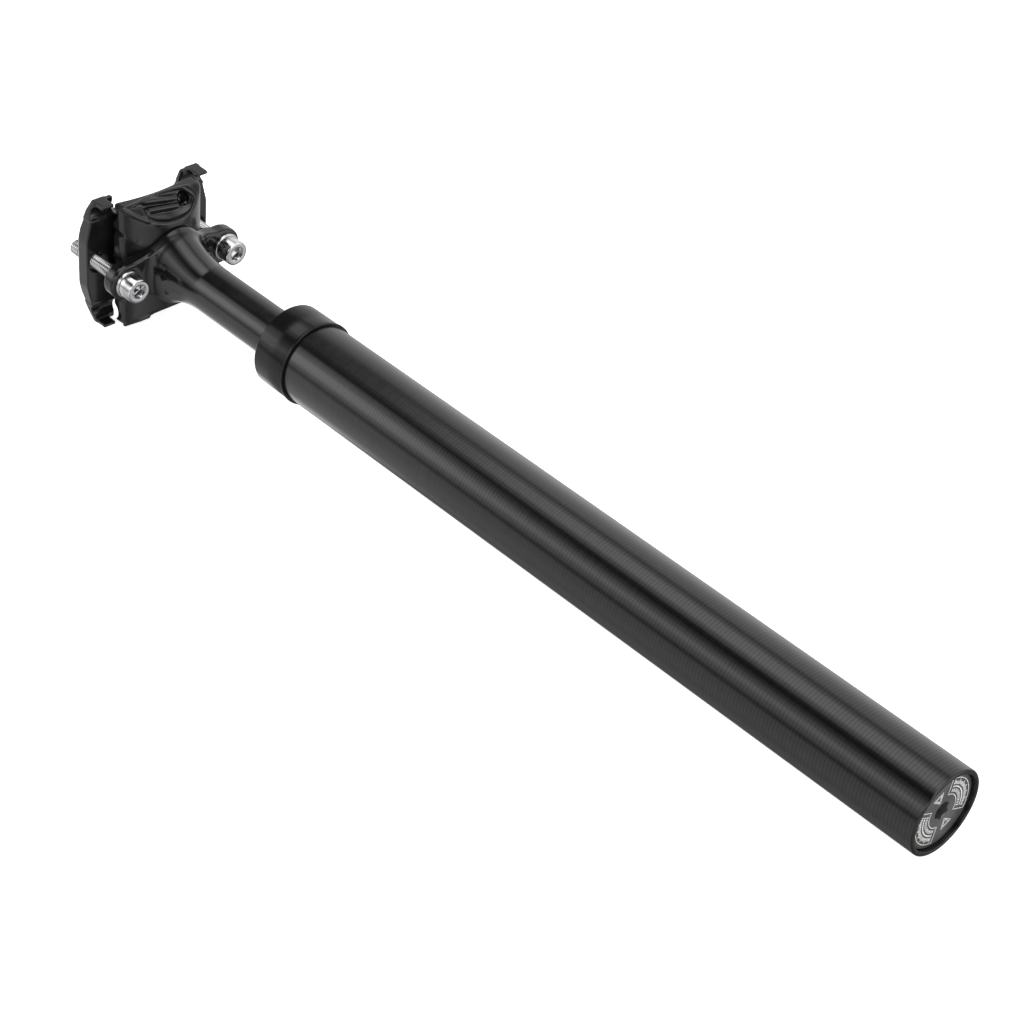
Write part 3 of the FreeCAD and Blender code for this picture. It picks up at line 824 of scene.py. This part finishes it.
# ---------------------------------------------------------------- preload plug
def arc_band(inner, outer, start, end, low, high, steps=48):
    """A closed flat band between two radii and two angles in degrees."""
    angles = np.radians(np.linspace(start, end, steps))
    points = []
    for angle in angles:
        for radius, level in ((inner, low), (outer, low), (outer, high), (inner, high)):
            points.append((radius * math.cos(angle), radius * math.sin(angle), level))
    faces = []
    for step in range(steps - 1):
        for corner in range(4):
            after = (corner + 1) % 4
            faces.append((step * 4 + corner, step * 4 + after, step * 4 + 4 + after, step * 4 + 4 + corner))
    faces.append((3, 2, 1, 0))
    faces.append(tuple((steps - 1) * 4 + corner for corner in range(4)))
    return points, faces


def line_mark(start, end, width, low, high):
    """A closed flat stroke between two points of a plane."""
    start, end = np.array(start, dtype=float), np.array(end, dtype=float)
    run = (end - start) / np.linalg.norm(end - start)
    across = np.array([-run[1], run[0]]) * width / 2
    corners = [start + across, start - across, end - across, end + across]
    points = [(*corner, level) for level in (low, high) for corner in corners]
    faces = [(0, 1, 2, 3), (7, 6, 5, 4)]
    faces += [(side, side + 4, (side + 1) % 4 + 4, (side + 1) % 4) for side in range(4)]
    return points, faces


def polar(radius, degrees):
    return radius * math.cos(math.radians(degrees)), radius * math.sin(math.radians(degrees))


def dial_marks(low, high):
    """Two outlined arc bands with graduations, and two double triangles: no lettering."""
    stroke = 0.22
    marks = []
    for start, end in ((100, 204), (280, 384)):
        for radius in (6.2, 12.2):
            marks.append(arc_band(radius - stroke / 2, radius + stroke / 2, start, end, low, high))
        for angle in (start, end):
            marks.append(line_mark(polar(6.2, angle), polar(12.2, angle), stroke, low, high))
        marks.append(arc_band(8.8, 9.2, start + 8, end - 8, low, high))
        for index in range(24):
            angle = start + 8 + index * (end - start - 16) / 23
            tall = 11.6 if index % 4 == 0 else 11.0
            marks.append(line_mark(polar(9.8, angle), polar(tall, angle), 0.34, low, high))
        for index in range(12):
            angle = start + 12 + index * (end - start - 24) / 11
            marks.append(line_mark(polar(7.0, angle), polar(8.2, angle), 0.38, low, high))
    for angle in (64, 244):
        for inner in (0, 1.1):
            corners = [
                polar(4.7 + inner * 0.9, angle),
                polar(8.9 - inner * 0.6, angle - 15 + inner * 4.5),
                polar(8.9 - inner * 0.6, angle + 15 - inner * 4.5),
            ]
            for first, second in zip(corners, corners[1:] + corners[:1]):
                marks.append(line_mark(first, second, stroke, low, high))
    return merged(*marks)


def make_plug():
    base = PLUG_LOW[2]
    top = PLUG_HIGH[2] - base
    nose = [(PLUG_NOSE_RADIUS, top - PLUG_NOSE_HEIGHT), (PLUG_NOSE_RADIUS, top)]
    radius = PLUG_HIGH[0] - 0.05
    cap_points, cap_faces = socket_head(
        radius, top - PLUG_NOSE_HEIGHT, PLUG_FLATS, PLUG_SOCKET_DEPTH, 0.5, 192, nose
    )
    place = np.array([0, 0, base])
    plug = add_piece(
        "preload_plug_turned", cap_points + place, cap_faces, "plug_black", "preload_plug", ["preload_plug"]
    )
    sharpen(plug, 30)
    points, faces = dial_marks(base - 0.05, base + 0.15)
    marks = add_piece("plug_face_marks", points, faces, "plug_black", "preload_plug", smooth=False)
    marks.data.materials.clear()
    marks.data.materials.append(MARKING)


# ---------------------------------------------------------------- spring
def make_spring():
    """The main spring as a swept coil, on a mesh of its own."""
    low, high = upright_box("main_spring")
    wire = 1.9
    coil_radius = high[0] - wire
    turns = 12
    steps = 48 * turns
    sides = 20
    share = np.linspace(0, 1, steps + 1)
    angle = share * turns * 2 * math.pi
    pitch = (high[2] - low[2] - 2 * wire) / turns
    centre = np.stack([
        coil_radius * np.cos(angle),
        coil_radius * np.sin(angle),
        low[2] + wire + share * turns * pitch,
    ], axis=1)
    outward = np.stack([np.cos(angle), np.sin(angle), 0 * angle], axis=1)
    climb = pitch / (2 * math.pi)
    along = np.stack([-coil_radius * np.sin(angle), coil_radius * np.cos(angle), climb + 0 * angle], axis=1)
    along /= np.linalg.norm(along, axis=1)[:, None]
    upward = np.cross(along, outward)
    round_angle = np.linspace(0, 2 * math.pi, sides, endpoint=False)
    points = (
        centre[:, None]
        + wire * np.cos(round_angle)[None, :, None] * outward[:, None]
        + wire * np.sin(round_angle)[None, :, None] * upward[:, None]
    ).reshape(-1, 3)
    faces = []
    for step in range(steps):
        for side in range(sides):
            after = (side + 1) % sides
            faces.append((
                step * sides + side,
                step * sides + after,
                (step + 1) * sides + after,
                (step + 1) * sides + side,
            ))
    faces.append(tuple(range(sides))[::-1])
    faces.append(tuple(steps * sides + side for side in range(sides)))
    spring = add_piece("main_spring_coil", points, faces, "spring_steel", "post_tube", ["main_spring"])
    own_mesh(spring)


# ---------------------------------------------------------------- stage
def make_floor():
    """A pale floor that touches the tube's lower end and the clamp's lower side."""
    far = cad_low[0]
    far_level = CLAMP_LOW[1] * MM
    near_level = -TUBE_RADIUS * MM
    tilt = math.atan2(far_level - near_level, far)
    corners = []
    for x, y in ((-6, -6), (6, -6), (6, 6), (-6, 6)):
        corners.append((x, y, near_level - 0.0002 + x * math.tan(tilt)))
    mesh = bpy.data.meshes.new("floor")
    mesh.from_pydata(corners, [], [(0, 1, 2, 3)])
    material, shader = new_material("pale_floor", (0.9, 0.9, 0.9), 0.9)
    shader.inputs["Emission Color"].default_value = (1, 1, 1, 1)
    shader.inputs["Emission Strength"].default_value = 0.85
    tint(material, shader, noise(material, 3), (0.86, 0.86, 0.86), (0.92, 0.92, 0.92))
    mesh.materials.append(material)
    floor = bpy.data.objects.new("floor", mesh)
    bpy.context.scene.collection.objects.link(floor)
    floor.visible_glossy = False


def light_ramp(tree, angle, stops):
    """A smooth ramp of brightness over the angle round the post; stops are (degrees, brightness)."""
    ramp = tree.nodes.new("ShaderNodeValToRGB")
    ramp.color_ramp.interpolation = "EASE"
    elements = ramp.color_ramp.elements
    while len(elements) > 1:
        elements.remove(elements[-1])
    for index, (degrees, brightness) in enumerate(stops):
        position = degrees / 360
        element = elements[0] if index == 0 else elements.new(position)
        element.position = position
        element.color = (brightness / BRIGHTEST, brightness / BRIGHTEST, brightness / BRIGHTEST, 1)
    tree.links.new(angle, ramp.inputs["Fac"])
    return ramp.outputs["Color"]


BRIGHTEST = 3.0
# brightness of the light tent by the angle round the post: 180 is towards -Y, 270 is straight up
TENT_AT_CLAMP = [
    (0, 0.75), (26, 0.6), (45, 1.0), (66, 1.3), (82, 1.25), (98, 0.75), (114, 0.9), (146, 0.9),
    (165, 1.0), (177, 0.5), (188, 1.3), (200, 2.5), (214, 2.7), (226, 1.6), (236, 1.1), (243, 0.2),
    (250, 0.06), (276, 0.07), (290, 0.12), (300, 0.35), (312, 0.65), (335, 0.85),
]
TENT_AT_TUBE = [
    (0, 1.1), (40, 0.6), (75, 0.2), (110, 0.45), (145, 0.8), (168, 0.8), (178, 0.3), (190, 1.0),
    (206, 1.8), (218, 0.9), (228, 0.3), (236, 0.03), (243, 0.15), (251, 1.0), (264, 2.3), (280, 2.1),
    (291, 1.1), (298, 0.6), (310, 1.2), (335, 1.25),
]
# the same along the post: 180 is square to it, 360 straight down it
TENT_ALONG = [(0, 1), (185, 1), (235, 0.4), (262, 0.45), (285, 1.3), (360, 1.6)]


def make_light():
    """A studio tent of light and dark bands round the post, fixed in the row frame."""
    world = bpy.data.worlds.new("studio")
    bpy.context.scene.world = world
    world.use_nodes = True
    tree = world.node_tree
    tree.nodes.clear()
    place = tree.nodes.new("ShaderNodeTexCoord")
    split = tree.nodes.new("ShaderNodeSeparateXYZ")
    tree.links.new(place.outputs["Generated"], split.inputs[0])

    def math_node(operation, *values):
        node = tree.nodes.new("ShaderNodeMath")
        node.operation = operation
        for index, value in enumerate(values):
            if isinstance(value, (int, float)):
                node.inputs[index].default_value = value
            else:
                tree.links.new(value, node.inputs[index])
        return node.outputs[0]

    turn = math_node("ARCTAN2", math_node("MULTIPLY", split.outputs["Z"], -1.0), split.outputs["Y"])
    angle = math_node("FRACT", math_node("DIVIDE", turn, 2 * math.pi))
    at_clamp = light_ramp(tree, angle, TENT_AT_CLAMP)
    at_tube = light_ramp(tree, angle, TENT_AT_TUBE)
    share = tree.nodes.new("ShaderNodeMapRange")
    share.interpolation_type = "SMOOTHSTEP"
    share.inputs["From Min"].default_value = -0.645
    share.inputs["From Max"].default_value = -0.605
    tree.links.new(split.outputs["X"], share.inputs["Value"])
    mix = tree.nodes.new("ShaderNodeMix")
    mix.data_type = "RGBA"
    tree.links.new(share.outputs["Result"], mix.inputs["Factor"])
    tree.links.new(at_clamp, mix.inputs[6])
    tree.links.new(at_tube, mix.inputs[7])
    along = math_node("MULTIPLY_ADD", split.outputs["X"], 0.5, 0.5)
    end_light = light_ramp(tree, along, TENT_ALONG)
    tent = tree.nodes.new("ShaderNodeBackground")
    strength = math_node("MULTIPLY", end_light, BRIGHTEST * BRIGHTEST)
    tree.links.new(strength, tent.inputs["Strength"])
    tree.links.new(mix.outputs[2], tent.inputs["Color"])
    plain = tree.nodes.new("ShaderNodeBackground")
    plain.inputs["Color"].default_value = (1, 1, 1, 1)
    plain.inputs["Strength"].default_value = 1.0
    ray = tree.nodes.new("ShaderNodeLightPath")
    choose = tree.nodes.new("ShaderNodeMixShader")
    tree.links.new(ray.outputs["Is Camera Ray"], choose.inputs["Fac"])
    tree.links.new(tent.outputs[0], choose.inputs[1])
    tree.links.new(plain.outputs[0], choose.inputs[2])
    output = tree.nodes.new("ShaderNodeOutputWorld")
    tree.links.new(choose.outputs[0], output.inputs["Surface"])


def make_camera():
    data = bpy.data.cameras.new("camera")
    camera = bpy.data.objects.new("camera", data)
    bpy.context.scene.collection.objects.link(camera)
    camera.location = (0.29865, -0.51597, 0.53482)
    camera.rotation_euler = [math.radians(degrees) for degrees in (52.816, -4.593, 47.115)]
    data.lens = 91.1
    data.sensor_width = 36
    data.clip_start = 0.01
    bpy.context.scene.camera = camera
    bpy.context.scene.view_settings.view_transform = "Standard"


make_camera()
make_light()
make_floor()
make_tube()
make_collar()
make_head()
make_clamp()
make_bolts()
make_plug()
make_spring()
